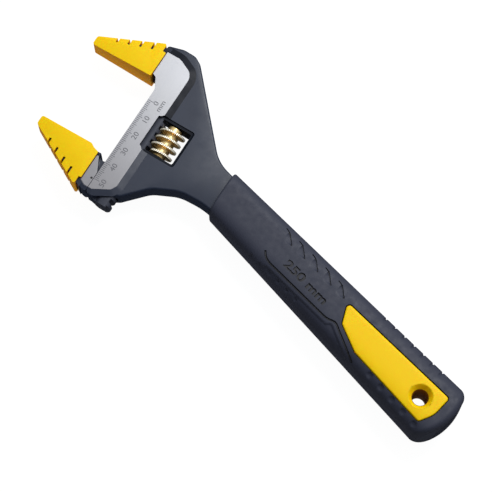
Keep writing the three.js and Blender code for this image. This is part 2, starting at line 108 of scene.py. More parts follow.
GRIP_FRONT, GRIP_SKEW = -28.5, -0.266
GRIP_LIP = 0.9  # rounding of the grip's front rim
SHANK_TO, SHANK_HALF_WIDTH, SHANK_HALF_THICKNESS = -12, 10.6, 5.6  # the steel's slot in the grip's front
GRIP_STRAIGHT_TO = 100.0  # beyond this the sections bend round to the free end
GRIP_END_X, GRIP_END_Y, GRIP_END_R, GRIP_ROUND = 100.4, 1.2, 31.0, 3.0
GRIP_POWER = 3.6  # a little squarer than the CAD grip, whose skin lies within 0.9 mm of this one
INLAY_GAP, INLAY_RIM, INLAY_SINK = 0.45, 0.7, 0.15
HOLE_R, HOLE_WAIST, HOLE_MOUTH, HOLE_DEPTH = 3.9, 3.4, 6.0, 3.5

# Outlines on the grip, in the handle frame. Each of the inlay's corners has a radius as well.
INLAY_OUTLINE = [
    (57.2, 5.5, 1.6),
    (57.4, 3.2, 1.5),
    (62, -4.2, 3),
    (76.5, -9.5, 4),
    (121.6, -11, 1.6),
    (124.6, -3.5, 12),
    (123.9, 7.6, 1.6),
]
CONTOUR = [(9.2, -5.6), (10.6, -7.2), (13.7, -8.5), (53.9, -7.8), (56.4, -7.3), (58.3, -6.0), (60.2, -6.0),
           (62.4, -7.2), (79.0, -13.6)]
CONTOUR_SINK, CONTOUR_R = 0.25, 0.6
LEDGE_DEPTH = 0.6  # how far the skin steps in below the contour groove
CHEVRON = [(7.8, 9.9), (10.7, 9.5), (16.4, 5.2)]
CHEVRONS, CHEVRON_PITCH = 5, 9.3
CHEVRON_SINK, CHEVRON_R = 0.28, 0.42
SCOOP_WIDTH, SCOOP_DEPTH = 3.4, 0.8  # the hollow beside each chevron


# ---- camera, light and floor ----


def add_camera():
    """Looks almost straight down from the open side, through a long lens."""
    tilt = math.radians(18)
    distance = 939
    focal_px = 1900
    handle_fall = math.radians(47.156)  # the handle's slope across the picture, undistorted
    up = Vector((-math.sin(handle_fall), math.cos(handle_fall), 0))
    target = TO_HANDLE @ Vector((0, -10.15, LAND_HALF))
    back = (math.cos(tilt) * Vector((0, 0, 1)) - math.sin(tilt) * up).normalized()
    side = up.cross(back).normalized()
    data = bpy.data.cameras.new("camera")
    data.sensor_width = 36
    data.lens = data.sensor_width * focal_px / IMAGE_SIDE
    camera = bpy.data.objects.new("camera", data)
    turn = Matrix((side, back.cross(side), back)).transposed()
    camera.matrix_world = Matrix.Translation(target + back * distance * MM) @ turn.to_4x4()
    bpy.context.scene.collection.objects.link(camera)
    bpy.context.scene.camera = camera
    return target, side, back.cross(side)


def add_area_light(name, place, target, size, watts):
    """A white disk light `size` metres across, aimed at a target."""
    data = bpy.data.lights.new(name, "AREA")
    data.shape = "DISK"
    data.size = size
    data.energy = watts
    light = bpy.data.objects.new(name, data)
    aim = (place - target).to_track_quat("Z", "Y").to_matrix().to_4x4()
    light.matrix_world = Matrix.Translation(place) @ aim
    bpy.context.scene.collection.objects.link(light)


def add_lights(target, right, up):
    """A broad key from the picture's upper right, in a room that is bright on that side and dark opposite.

    A small close light adds the sheen along the head's top.
    """
    high = Vector((0, 0, 1))
    bright_way = (0.45 * right + 0.5 * up + 0.85 * high).normalized()
    add_area_light("key", target + 0.9 * bright_way, target, size=0.35, watts=5.5)
    head_top = TO_HEAD @ Vector((12, 22, LAND_HALF))
    sheen_way = 0.12 * up + 0.05 * right + 0.28 * high
    add_area_light("sheen", head_top + sheen_way, head_top, size=0.14, watts=0.08)
    world = bpy.data.worlds.new("studio")
    bpy.context.scene.world = world
    world.use_nodes = True
    tree = world.node_tree
    coordinates = tree.nodes.new("ShaderNodeTexCoord")
    towards = tree.nodes.new("ShaderNodeVectorMath")
    towards.operation = "DOT_PRODUCT"
    towards.inputs[1].default_value = bright_way
    tree.links.new(coordinates.outputs["Generated"], towards.inputs[0])
    glow = tree.nodes.new("ShaderNodeMapRange")
    glow.inputs["From Min"].default_value = 0.1
    glow.inputs["From Max"].default_value = 1.0
    glow.inputs["To Min"].default_value = WORLD_DARK
    glow.inputs["To Max"].default_value = WORLD_BRIGHT
    tree.links.new(towards.outputs["Value"], glow.inputs["Value"])
    tree.links.new(glow.outputs["Result"], tree.nodes["Background"].inputs["Strength"])
    tree.nodes["Background"].inputs["Color"].default_value = SKY_TINT
    bpy.context.scene.view_settings.view_transform = "Standard"


def add_floor():
    """A white floor that glows evenly, just below the object. Shiny surfaces don't mirror it."""
    side = 12.0
    drop = 0.0002
    bpy.ops.mesh.primitive_grid_add(x_subdivisions=2, y_subdivisions=2, size=side, location=(0, 0, -drop))
    floor = bpy.context.object
    floor.name = "floor"
    paint = Paint("floor_white", (0.07, 0.07, 0.07), 0.9, Emission_Strength=0.96, Emission_Color=(1, 1, 1, 1))
    floor.data.materials.append(paint.material)
    floor.visible_glossy = False


# ---- materials ----


class Paint:
    """A Principled material, with short ways to add procedural detail to it."""

    def __init__(self, name, colour, roughness, metallic=0.0, **sockets):
        self.material = bpy.data.materials.new(name)
        self.material.use_nodes = True
        self.tree = self.material.node_tree
        self.shader = self.tree.nodes["Principled BSDF"]
        self.shader.inputs["Base Color"].default_value = (*colour, 1)
        self.shader.inputs["Roughness"].default_value = roughness
        self.shader.inputs["Metallic"].default_value = metallic
        for socket, value in sockets.items():
            self.shader.inputs[socket.replace("_", " ")].default_value = value
        self.colour = colour
        self.bump_out = None

    def node(self, kind, inputs=(), **settings):
        """A new shader node, its inputs linked to sockets or set to values."""
        made = self.tree.nodes.new(kind)
        for key, value in settings.items():
            setattr(made, key, value)
        for key, value in dict(inputs).items():
            if isinstance(value, bpy.types.NodeSocket):
                self.tree.links.new(value, made.inputs[key])
            else:
                made.inputs[key].default_value = value
        return made

    def place(self, stretch=(1, 1, 1), turn=0.0):
        """Object coordinates in millimetres, turned about Z and then squeezed by `stretch`."""
        coordinates = self.node("ShaderNodeTexCoord").outputs["Object"]
        scale = [s / MM for s in stretch]
        turned = self.node("ShaderNodeMapping", {"Vector": coordinates, "Rotation": (0, 0, -turn)})
        return self.node("ShaderNodeMapping", {"Vector": turned.outputs[0], "Scale": scale}).outputs[0]

    def noise(self, size, detail=3, where=None):
        """Noise whose lumps are about `size` millimetres."""
        inputs = {"Vector": where or self.place(), "Scale": 1 / size, "Detail": detail}
        return self.node("ShaderNodeTexNoise", inputs).outputs["Fac"]

    def ramp(self, value, low, high, out_low=0.0, out_high=1.0):
        """Maps the range low to high onto out_low to out_high."""
        inputs = {"Value": value, "From Min": low, "From Max": high, "To Min": out_low, "To Max": out_high}
        return self.node("ShaderNodeMapRange", inputs).outputs["Result"]

    def vary_colour(self, factor, other):
        """Mixes `other` into the base colour by `factor`."""
        base = self.shader.inputs["Base Color"]
        before = base.links[0].from_socket if base.links else (*self.colour, 1)
        mix = self.node("ShaderNodeMix", {"Factor": factor}, data_type="RGBA")
        for index, value in ((6, before), (7, (*other, 1))):
            if isinstance(value, bpy.types.NodeSocket):
                self.tree.links.new(value, mix.inputs[index])
            else:
                mix.inputs[index].default_value = value
        self.tree.links.new(mix.outputs[2], base)

    def vary_roughness(self, value, low, high):
        """Drives the roughness between low and high by a noise value."""
        self.tree.links.new(self.ramp(value, 0.3, 0.7, low, high), self.shader.inputs["Roughness"])

    def bump(self, height, depth, strength=1.0):
        """Adds relief `depth` millimetres deep."""
        inputs = {"Height": height, "Distance": depth * MM, "Strength": strength}
        if self.bump_out:
            inputs["Normal"] = self.bump_out
        self.bump_out = self.node("ShaderNodeBump", inputs).outputs["Normal"]
        self.tree.links.new(self.bump_out, self.shader.inputs["Normal"])

    def edges(self, radius):
        """Close to 1 on the object's outer edges and 0 on its faces."""
        soft = self.node("ShaderNodeBevel", {"Radius": radius * MM}, samples=6).outputs[0]
        true = self.node("ShaderNodeNewGeometry").outputs["Normal"]
        dot = self.node("ShaderNodeVectorMath", {0: soft, 1: true}, operation="DOT_PRODUCT").outputs["Value"]
        return self.ramp(dot, 0.995, 0.9)


def forged_black(name="forged_black", shade=1.0):
    """Black oxide over a shot-peened forging, rubbed a little brighter on its edges."""
    base = [shade * c for c in (0.012, 0.018, 0.036)]
    mottle = [shade * c for c in (0.009, 0.013, 0.027)]
    paint = Paint(name, base, 0.46, Specular_IOR_Level=0.37 * shade)
    paint.vary_colour(paint.ramp(paint.noise(14), 0.35, 0.7, 0, 0.5), mottle)
    worn = paint.node("ShaderNodeMath", {0: paint.edges(0.35), 1: paint.noise(2.5, 4)}, operation="MULTIPLY")
    paint.vary_colour(paint.ramp(worn.outputs[0], 0.2, 0.8, 0, 0.35), (0.11, 0.12, 0.14))
    paint.vary_roughness(paint.noise(5, 4), 0.36, 0.5)
    paint.bump(paint.noise(0.35, 2), 0.012, 0.7)
    return paint.material


def ground_steel():
    """Bright steel with fine grinding lines along the jaw's slide, with painted shade that darkens it towards the
    end of the scale.
    """
    paint = Paint("ground_steel", (0.44, 0.44, 0.45), 0.34, 0.8)
    lines = paint.noise(0.16, 3, paint.place((1, 0.02, 1), HEAD_TURN))
    bands = paint.noise(1.6, 2, paint.place((1, 0.03, 1), HEAD_TURN))
    paint.vary_colour(paint.ramp(bands, 0.3, 0.7, 0, 0.6), (0.42, 0.425, 0.45))
    # painted shade: the land grows darker towards the end of the scale
    zero = (Matrix.Rotation(-HEAD_TURN, 3, "Z") @ TO_HEAD.translation).y / MM
    along = paint.node("ShaderNodeSeparateXYZ", {"Vector": paint.place((1, 1, 1), HEAD_TURN)}).outputs["Y"]
    paint.vary_colour(paint.ramp(along, zero + 20, zero - 52), (0.25, 0.243, 0.25))
    paint.vary_roughness(lines, 0.28, 0.46)
    paint.bump(lines, 0.004, 0.8)
    return paint.material


def rubbed_rim():
    """Oxide worn thin along the border of the ground land, made paler as a painted highlight."""
    return Paint("rubbed_rim", (0.13, 0.135, 0.155), 0.4, 0.4).material


def rack_steel():
    """Machined steel under thin black oxide: darker than the land, brighter than the forging."""
    paint = Paint("rack_steel", (0.032, 0.036, 0.052), 0.45, 0.2)
    cuts = paint.noise(0.2, 2, paint.place((0.05, 1, 1), HEAD_TURN))
    paint.vary_colour(paint.ramp(paint.noise(2.2, 4), 0.35, 0.7, 0, 0.6), (0.022, 0.025, 0.038))
    paint.vary_roughness(cuts, 0.3, 0.46)
    paint.bump(cuts, 0.004, 0.7)
    return paint.material


def turned_brass(name="turned_brass", colour=(0.80, 0.60, 0.28), film=(0.50, 0.31, 0.10), metallic=0.75):
    """Brass with faint lathe marks and a darker film in patches."""
    paint = Paint(name, colour, 0.36, metallic)
    marks = paint.noise(0.15, 2, paint.place((0.05, 1, 0.05), HEAD_TURN))
    paint.vary_colour(paint.ramp(paint.noise(1.5, 4), 0.4, 0.75, 0, 0.5), film)
    paint.vary_roughness(marks, 0.18, 0.34)
    paint.bump(marks, 0.004, 0.6)
    return paint.material


def zinc_plate():
    """Plain bright plating for the pin and the spring."""
    paint = Paint("zinc_plate", (0.55, 0.56, 0.58), 0.34, 1.0)
    paint.vary_roughness(paint.noise(0.4), 0.28, 0.45)
    paint.bump(paint.noise(0.12, 2), 0.004, 0.5)
    return paint.material


def yellow_plastic(name="yellow_plastic", colour=(0.84, 0.545, 0.001), flow=(0.80, 0.52, 0.003)):
    """Satin moulded plastic: fine spark-eroded texture and a faint variation in its flow."""
    paint = Paint(name, colour, 0.5, Specular_IOR_Level=0.12,
                  Subsurface_Weight=0.3, Subsurface_Radius=(1, 0.4, 0.05), Subsurface_Scale=0.0015)
    paint.vary_colour(paint.ramp(paint.noise(9), 0.35, 0.75, 0, 0.35), flow)
    paint.vary_roughness(paint.noise(1.2, 4), 0.44, 0.56)
    paint.bump(paint.noise(0.18, 2), 0.006, 0.5)
    return paint.material


def grey_rubber():
    """Soft grip compound: matt, with a fine leathery texture and paler rubbed patches."""
    paint = Paint("grey_rubber", (0.024, 0.027, 0.044), 0.6, Specular_IOR_Level=0.32)
    paint.vary_colour(paint.ramp(paint.noise(18), 0.4, 0.75, 0, 0.5), (0.028, 0.031, 0.050))
    cell = 0.45
    cells = paint.node("ShaderNodeTexVoronoi", {"Vector": paint.place(), "Scale": 1 / cell})
    paint.vary_roughness(paint.noise(3, 4), 0.52, 0.68)
    paint.bump(cells.outputs["Distance"], 0.012, 0.5)
    paint.bump(paint.noise(0.9), 0.03, 0.35)
    return paint.material


def dark_mark(name, colour):
    """Ink in a print, or painted shade in a hollow, a little uneven."""
    paint = Paint(name, colour, 0.6, 0.1)
    paint.vary_colour(paint.ramp(paint.noise(0.3), 0.4, 0.7, 0, 0.5), [2 * c for c in colour])
    return paint.material


# ---- mesh tools ----


def add_mesh(name, points, faces, matrix, material):
    """A mesh object whose millimetre points are placed in the shared frame by `matrix`."""
    mesh = bpy.data.meshes.new(name)
    mesh.from_pydata([tuple(p) for p in points], [], [tuple(f) for f in faces])
    mesh.transform(matrix)
    work = bmesh.new()
    work.from_mesh(mesh)
    bmesh.ops.recalc_face_normals(work, faces=work.faces)
    work.to_mesh(mesh)
    work.free()
    mesh.materials.append(material)
    piece = bpy.data.objects.new(name, mesh)
    bpy.context.scene.collection.objects.link(piece)
    return piece


def smooth_by_angle(piece, degrees):
    """Shades faces smooth where they meet at less than `degrees`."""
    mesh = piece.data
    mesh.polygons.foreach_set("use_smooth", [True] * len(mesh.polygons))
    mesh.set_sharp_from_angle(angle=math.radians(degrees))


def apply_modifiers(piece):
    """Makes the piece's modifiers part of its mesh."""
    depsgraph = bpy.context.evaluated_depsgraph_get()
    depsgraph.update()
    mesh = bpy.data.meshes.new_from_object(piece.evaluated_get(depsgraph))
    piece.modifiers.clear()
    piece.data = mesh


def carve(piece, cutters):
    """Takes the cutters out of the piece, and deletes them."""
    for cutter in cutters:
        modifier = piece.modifiers.new("carve", "BOOLEAN")
        modifier.operation = "DIFFERENCE"
        modifier.solver = "MANIFOLD"
        modifier.material_mode = "TRANSFER"
        modifier.object = cutter
    apply_modifiers(piece)
    for cutter in cutters:
        bpy.data.objects.remove(cutter)


def quads(a, b, count):
    """Faces between two closed loops of `count` points each, whose first points are numbers a and b."""
    return [(a + i, a + (i + 1) % count, b + (i + 1) % count, b + i) for i in range(count)]


def ring_grid(rings, closed_rows=False):
    """Points and quads over a row of closed rings. Open rows get a fan on each end."""
    count, n = len(rings), len(rings[0])
    points = [p for ring in rings for p in ring]
    faces = []
    for r in range(count if closed_rows else count - 1):
        faces += quads(r * n, (r + 1) % count * n, n)
    if not closed_rows:
        faces += [tuple(range(n))[::-1], tuple(range((count - 1) * n, count * n))]
    return points, faces


def rounded_outline(corners, grow=0.0, step=math.radians(7)):
    """Points round a closed outline of corners (x, y, radius), grown outwards by `grow`."""
    points = []
    area = sum(a[0] * b[1] - b[0] * a[1] for a, b in zip(corners, corners[1:] + corners[:1]))
    sign = 1 if area > 0 else -1
    for i, (x, y, radius) in enumerate(corners):
        corner = Vector((x, y))
        before = (Vector(corners[i - 1][:2]) - corner).normalized()
        after = (Vector(corners[(i + 1) % len(corners)][:2]) - corner).normalized()
        half = before.angle(after) / 2
        middle = (before + after).normalized()
        centre = corner + middle * radius / math.sin(half)
        turn = math.pi - 2 * half
        steps = max(2, round(turn / step))
        outward = (-middle).normalized()
        for k in range(steps + 1):
            angle = sign * turn * (k / steps - 0.5)
            spoke = Vector((outward.x * math.cos(angle) - outward.y * math.sin(angle),
                            outward.x * math.sin(angle) + outward.y * math.cos(angle)))
            points.append(centre + spoke * (radius + grow))
    return points


def prism(name, outline, low, high, matrix):
    """An upright solid over a 2-D outline."""
    rings = [[(p[0], p[1], z) for p in outline] for z in (low, high)]
    points, faces = ring_grid(rings)
    return add_mesh(name, points, faces, matrix, None)


def tube(path, radius, sides=12):
    """Points and faces of a round bar along a path of (x, y, z)."""
    rings = []
    turns = [2 * math.pi * k / sides for k in range(sides)]
    for i, point in enumerate(path):
        ahead = Vector(path[min(i + 1, len(path) - 1)]) - Vector(path[max(i - 1, 0)])
        side = ahead.cross(Vector((0, 0, 1))).normalized()
        lift = side.cross(ahead).normalized()
        rings.append([Vector(point) + radius * (math.cos(t) * side + math.sin(t) * lift) for t in turns])
    return ring_grid(rings)


# ---- steel ----


def refined(node, body, name, bevel=0.0):
    """A copy of a CAD node with welded faces, smooth curves and, if asked, softened corners."""
    corner = 30  # degrees: faces that meet at more than this make a corner
    work = bmesh.new()
    work.from_mesh(frame["nodes"][node].data)
    bmesh.ops.remove_doubles(work, verts=work.verts, dist=2e-6)
    bmesh.ops.dissolve_limit(work, angle_limit=math.radians(0.5), verts=work.verts, edges=work.edges)
    if bevel:
        least = math.radians(corner)
        sharp = [e for e in work.edges if len(e.link_faces) == 2 and e.calc_face_angle() > least]
        bmesh.ops.bevel(work, geom=sharp, offset=bevel * MM, segments=3, profile=0.5, affect="EDGES",
                        clamp_overlap=True)
    fresh = bpy.data.meshes.new(name)
    work.to_mesh(fresh)
    work.free()
    piece = bpy.data.objects.new(name, fresh)
    bpy.context.scene.collection.objects.link(piece)
    smooth_by_angle(piece, corner)
    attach(piece, body)
    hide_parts(node)
    return piece


BLACK, GROUND, SHADED_SLOPE, RACK, RIM = range(5)  # the order of the steel pieces' materials: the slope's is painted shade, the rim's partly a painted highlight


def is_land(face, centre):
    """True for the faces of the ground land itself."""
    return abs(abs(centre.z) - LAND_HALF) < 0.02 and abs(face.normal.z) > 0.99


def is_land_slope(face):
    """True for the slope that borders the ground land."""
    tilt = math.acos(min(1, abs(face.normal.z)))
    return abs(tilt - LAND_TILT) < math.radians(1.2)


def in_window(face, centre):
    """True for the head's faces inside the worm's window and on the shallow relief round it, which get painted
    shade.
    """
    within = WINDOW_LOW.x < centre.x < WINDOW_HIGH.x and WINDOW_LOW.y < centre.y < WINDOW_HIGH.y
    return within and (abs(face.normal.z) < 0.5 or abs(centre.z) < RELIEF_LEVEL)


def sort_faces(work, to_head, has_rack):
    """Gives each face its material: ground land, painted shade on the slope round it and in the worm's window, the
    rack, or plain black.
    """
    for face in work.faces:
        centre = to_head @ face.calc_center_median()
        face.material_index = BLACK
        if is_land(face, centre):
            face.material_index = GROUND
        elif is_land_slope(face) or in_window(face, centre):
            face.material_index = SHADED_SLOPE
        if has_rack and centre.x > RACK_FROM:
            face.material_index = RACK


def round_land_rim(work):
    """Rounds the border between the land and its slope. The outer half of the rounding gets the rim colour, worn
    oxide with a painted highlight; the inner half gets the slope's painted shade.
    """
    border = []
    for edge in work.edges:
        kinds = sorted(face.material_index for face in edge.link_faces)
        if kinds == [GROUND, SHADED_SLOPE]:
            border.append(edge)
    made = bmesh.ops.bevel(work, geom=border, offset=LAND_RIM * MM, segments=2, profile=0.5, affect="EDGES",
                           clamp_overlap=True, material=SHADED_SLOPE, loop_slide=True)
    for face in made["faces"]:
        others = [other for edge in face.edges for other in edge.link_faces if other is not face]
        face.material_index = SHADED_SLOPE if any(other.material_index == GROUND for other in others) else RIM
        face.smooth = True


def finish_steel(piece, finishes_and_painted_light):
    """Gives the steel its five materials, among them painted shade and a painted highlight, with a crisp border
    round the land and its slope.
    """
    mesh = piece.data
    for steel_look in finishes_and_painted_light:
        mesh.materials.append(steel_look)
    to_head = TO_HEAD.inverted()
    work = bmesh.new()
    work.from_mesh(mesh)
    sort_faces(work, to_head, piece.name.startswith("movable_jaw"))
    for edge in work.edges:
        if len(edge.link_faces) == 2 and sum(map(is_land_slope, edge.link_faces)) == 1:
            edge.smooth = False
    round_land_rim(work)
    for face in work.faces:
        if is_land_slope(face) and (to_head @ face.calc_center_median()).y < SLOPE_LOW:
            face.material_index = BLACK
    for edge in work.edges:
        if sum(face.material_index == GROUND for face in edge.link_faces) == 1:
            edge.smooth = False
    work.to_mesh(mesh)
    work.free()


def add_steel():
    """The body and the movable jaw, on the CAD model's own surfaces."""
    # the slope round the land and the worm's window get a darker copy of the black: painted shade
    finishes_and_painted_light = [forged_black(), ground_steel(), forged_black("slope_painted_shade", 0.3), rack_steel(), rubbed_rim()]
    for node, body in (("wrench_body", "frame"), ("movable_jaw", "sliding_jaw")):
        piece = refined(node, body, node + "_steel")
        finish_steel(piece, finishes_and_painted_light)


# ---- scale marks ----


def text_mesh(text, height, centre, x_way, y_way, z, thickness, bold=0.0):
    """Points and faces of a line of text in the plain default font, its capitals `height` tall.

    `x_way` and `y_way` are the ways it reads and stands, and a longer one stretches it.
    """
    curve = bpy.data.curves.new("text", "FONT")
    curve.body = text
    curve.offset = bold
    curve.align_x = "CENTER"
    curve.resolution_u = 4
    curve.extrude = 0.5
    holder = bpy.data.objects.new("text", curve)
    bpy.context.scene.collection.objects.link(holder)
    bpy.context.view_layer.update()
    mesh = bpy.data.meshes.new_from_object(holder.evaluated_get(bpy.context.evaluated_depsgraph_get()))
    bpy.data.objects.remove(holder)
    work = bmesh.new()
    work.from_mesh(mesh)
    bmesh.ops.remove_doubles(work, verts=work.verts, dist=1e-5)
    work.verts.ensure_lookup_table()
    points = np.array([v.co for v in work.verts])
    faces = [[v.index for v in f.verts] for f in work.faces]
    work.free()
    capital = 0.73  # height of a digit in the default font, for size 1
    scale = height / capital
    x = points[:, 0] * scale
    y = (points[:, 1] - capital / 2) * scale
    flat = np.outer(x, x_way) + np.outer(y, y_way) + np.array(centre)
    return np.column_stack((flat, z + points[:, 2] * thickness)), faces


def gather(parts):
    """Joins several (points, faces) into one."""
    points, faces = [], []
    for some_points, some_faces in parts:
        faces += [[i + len(points) for i in face] for face in some_faces]
        points += [tuple(p) for p in some_points]
    return points, faces


def bar(x0, x1, y0, y1, z0, z1):
    """Points and faces of a box."""
    outline = [(x0, y0), (x1, y0), (x1, y1), (x0, y1)]
    return ring_grid([[(*p, z) for p in outline] for z in (z0, z1)])


def tick_length(k):
    """The ticks are longest at the tens and shortest between the fives."""
    if k % 10 == 0:
        return TICK_LONG
    return TICK_MEDIUM if k % 5 == 0 else TICK_SHORT


def add_scale_marks():
    """Millimetre ticks from 0 to 50, their digits, and the movable jaw's index dot."""
    low, high = LAND_HALF - 0.03, LAND_HALF + 0.012
    ink = dark_mark("scale_ink", (0.07, 0.07, 0.08))
    ticks = []
    for k in range(SCALE_END + 1):
        tick_to = TICK_FROM + tick_length(k)
        ticks.append(bar(TICK_FROM, tick_to, -k - TICK_HALF_WIDTH, -k + TICK_HALF_WIDTH, low, high))
    marks = add_mesh("scale_ticks", *gather(ticks), TO_HEAD, ink)
    words = [(str(k), (5.1, -k)) for k in range(10, SCALE_END + 1, 10)]
    words += [("0", (4.7, 0.3)), ("mm", (7.5, 0.2))]
    reads, stands = (0, DIGIT_STRETCH), (-1, 0)
    texts = []
    for word, centre in words:
        texts.append(text_mesh(word, DIGIT_HEIGHT, centre, reads, stands, z=LAND_HALF - 0.01, thickness=0.04))
    digits = add_mesh("scale_digits", *gather(texts), TO_HEAD, ink)
    turns = np.linspace(0, 2 * math.pi, 24, False)
    dot_points = [(DOT_X + DOT_R * math.cos(turn), DOT_Y + DOT_R * math.sin(turn)) for turn in turns]
    dot_rings = [[(*point, z) for point in dot_points] for z in (low, high)]
    dot = add_mesh("index_dot", *ring_grid(dot_rings), TO_HEAD, dark_mark("dot_shade", (0.008, 0.008, 0.010)))
    for piece, body in ((marks, "frame"), (digits, "frame"), (dot, "sliding_jaw")):
        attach(piece, body)


# ---- caps ----


def add_caps(yellow, sides):
    """The slip-on jaw caps, with painted shade on their sides: a browner yellow than their faces."""
    for node, body in (("fixed_jaw_cap", "fixed_cap"), ("movable_jaw_cap", "sliding_cap")):
        piece = refined(node, body, node + "_moulded", CAP_ROUND)
        piece.data.materials.append(yellow)
        piece.data.materials.append(sides)
        # faces that stand upright get the browner yellow: painted shade
        for face in piece.data.polygons:
            face.material_index = int(abs(face.normal.z) < 0.5)


# ---- worm ----


def worm_radius(turn, y):
    """Radius of the worm at an angle from its front and a height, with a knurled crest."""
    phase = (y - THREAD_FRONT) / WORM_PITCH - turn / (2 * math.pi)
    offset = (phase - round(phase)) * WORM_PITCH
    crest_y = y - offset
    to_end = min(crest_y - WORM_LOW, WORM_HIGH - crest_y)
    fade_from, fade_over = 0.55, 0.7  # the fin runs out this near the worm's ends, over this length
    fade = min(1, max(0, to_end - fade_from) / fade_over)
    share = min(1, max(0, (abs(offset) - THREAD_CREST) / (THREAD_ROOT - THREAD_CREST)))
    flank = 0.5 + 0.5 * math.cos(math.pi * share)
    knurl = KNURL_DEPTH * (0.5 + 0.5 * math.cos(KNURLS * turn)) if share < 0.05 else 0
    return WORM_CORE_R + fade * (flank * (WORM_R - WORM_CORE_R) - knurl)


def add_worm():
    """The brass worm: a helical fin on a core, with a bore for the pin and a pocket for the spring."""
    sides, rows = 352, 240
    turns = [2 * math.pi * k / sides for k in range(sides)]

    def ring(y, radius_at):
        x = WORM_CENTRE.x
        return [(x + radius_at(t) * math.sin(t), y, radius_at(t) * math.cos(t)) for t in turns]

    edge = 0.25  # chamfer on the worm's ends
    rings = [ring(WORM_LOW, lambda t: WORM_CORE_R - edge)]
    for k in range(rows + 1):
        y = WORM_LOW + edge + (WORM_HIGH - WORM_LOW - 2 * edge) * k / rows
        rings.append(ring(y, lambda t: worm_radius(t, y)))
    rings.append(ring(WORM_HIGH, lambda t: WORM_CORE_R - edge))
    bore = ((WORM_HIGH, WORM_BORE_R), (WORM_LOW + WORM_POCKET_DEPTH, WORM_BORE_R),
            (WORM_LOW + WORM_POCKET_DEPTH, WORM_POCKET_R), (WORM_LOW, WORM_POCKET_R))
    rings += [ring(y, lambda t: radius) for y, radius in bore]
    piece = add_mesh("worm_turned", *ring_grid(rings, closed_rows=True), TO_HEAD, turned_brass())
    # the fin's crest gets a paler brass: wear on the knurl and a painted highlight
    piece.data.materials.append(turned_brass("crest_wear_and_highlight", (0.78, 0.73, 0.60), (0.62, 0.54, 0.38), 0.45))
    to_head = TO_HEAD.inverted()
    for face in piece.data.polygons:
        centre = to_head @ face.center
        out = math.hypot(centre.x - WORM_CENTRE.x, centre.z)
        face.material_index = int(out > WORM_R - 0.4)
    smooth_by_angle(piece, 50)
    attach(piece, "worm")
    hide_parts("worm")


# ---- grip ----


def grip_half_width(x):
    """Half the grip's width, which grows from 12.4 near its front."""
    return 12.4 + 0.028 * (x + 28)


def grip_half_thickness(x):
    """Half the grip's thickness, which grows from 10.4 near its front."""
    return 10.4 + 0.0165 * (x + 28)


def grip_height(x, y):
    """Height of the grip's front face above the middle plane."""
    across = min(1, abs(y) / grip_half_width(x))
    return grip_half_thickness(x) * (1 - across**GRIP_POWER) ** (1 / GRIP_POWER)


def grip_section(x, drawn, sides):
    """Evenly spaced points round the grip's section at x, a superellipse drawn in by `drawn`."""
    half_width = grip_half_width(x) - drawn
    half_thickness = grip_half_thickness(x) - drawn
    fine = np.linspace(0, 2 * math.pi, 4001)
    cosine, sine = np.cos(fine), np.sin(fine)
    y = half_width * np.sign(cosine) * np.abs(cosine) ** (2 / GRIP_POWER)
    z = half_thickness * np.sign(sine) * np.abs(sine) ** (2 / GRIP_POWER)
    run = np.concatenate(([0], np.cumsum(np.hypot(np.diff(y), np.diff(z)))))
    even = np.linspace(0, run[-1], sides + 1)[:-1]
    return np.interp(even, run, y), np.interp(even, run, z)


def grip_end(y):
    """Where the grip's rounded free end lies, across its width."""
    return GRIP_END_X + np.sqrt(GRIP_END_R**2 - (y - GRIP_END_Y) ** 2)


def grip_rings(spacing, sides):
    """Rings over the whole grip: the tapering body, its rounded lip in front and its rounded end."""
    rings = []
    for degrees in (0, 30, 60):
        a = math.radians(degrees)
        y, z = grip_section(GRIP_FRONT, GRIP_LIP * (1 - math.sin(a)), sides)
        rings.append(np.column_stack((GRIP_FRONT + GRIP_LIP * (1 - math.cos(a)) + GRIP_SKEW * y, y, z)))
    for x in np.arange(GRIP_FRONT + GRIP_LIP, GRIP_STRAIGHT_TO, spacing):
        y, z = grip_section(x, 0, sides)
        share = (GRIP_STRAIGHT_TO - x) / (GRIP_STRAIGHT_TO - GRIP_FRONT)
        rings.append(np.column_stack((x + GRIP_SKEW * share * y, y, z)))
    last = GRIP_END_X + 0.8 * GRIP_END_R
    steps = round((GRIP_END_R - GRIP_ROUND) / spacing)
    for k in range(steps):
        share = k / steps
        y, z = grip_section(GRIP_STRAIGHT_TO + share * (last - GRIP_STRAIGHT_TO), 0, sides)
        end = grip_end(y) - GRIP_ROUND
        rings.append(np.column_stack(((1 - share) * GRIP_STRAIGHT_TO + share * end, y, z)))
    for degrees in np.linspace(0, 90, 10):
        a = math.radians(degrees)
        y, z = grip_section(last, GRIP_ROUND * (1 - math.cos(a)), sides)
        rings.append(np.column_stack((grip_end(y) - GRIP_ROUND * (1 - math.sin(a)), y, z)))
    return rings


def groove_path(corners, sink, side, smoothing=3):
    """A path of close points along rounded corners, `sink` below the grip's face."""
    flat = []
    for a, b in zip(corners, corners[1:]):
        steps = max(1, round((Vector(b) - Vector(a)).length / 1.2))
        flat += [Vector(a).lerp(Vector(b), k / steps) for k in range(steps)]
    flat.append(Vector(corners[-1]))
    for _ in range(smoothing):
        flat[1:-1] = [(a + 2 * b + c) / 4 for a, b, c in zip(flat, flat[1:], flat[2:])]
    return [(p.x, p.y, side * (grip_height(p.x, p.y) - sink)) for p in flat]


def smooth_step(value, low, high):
    """0 up to `low` and 1 from `high`, with an even blend between them."""
    share = np.clip((value - low) / (high - low), 0, 1)
    return share * share * (3 - 2 * share)


def below_contour(x, y):
    """Distance from the contour groove for points on its lower side, within its length, otherwise 0."""
    line_x, line_y = np.array(CONTOUR)[1:].T
    drop = np.interp(x, line_x, line_y) - y
    fade = smooth_step(x, line_x[0], line_x[0] + 5) * smooth_step(-x, -line_x[-1], -line_x[-1] + 5)
    slope = np.interp(x, line_x[:-1], np.diff(line_y) / np.diff(line_x))
    return np.clip(drop / np.sqrt(1 + slope**2), 0, None) * fade


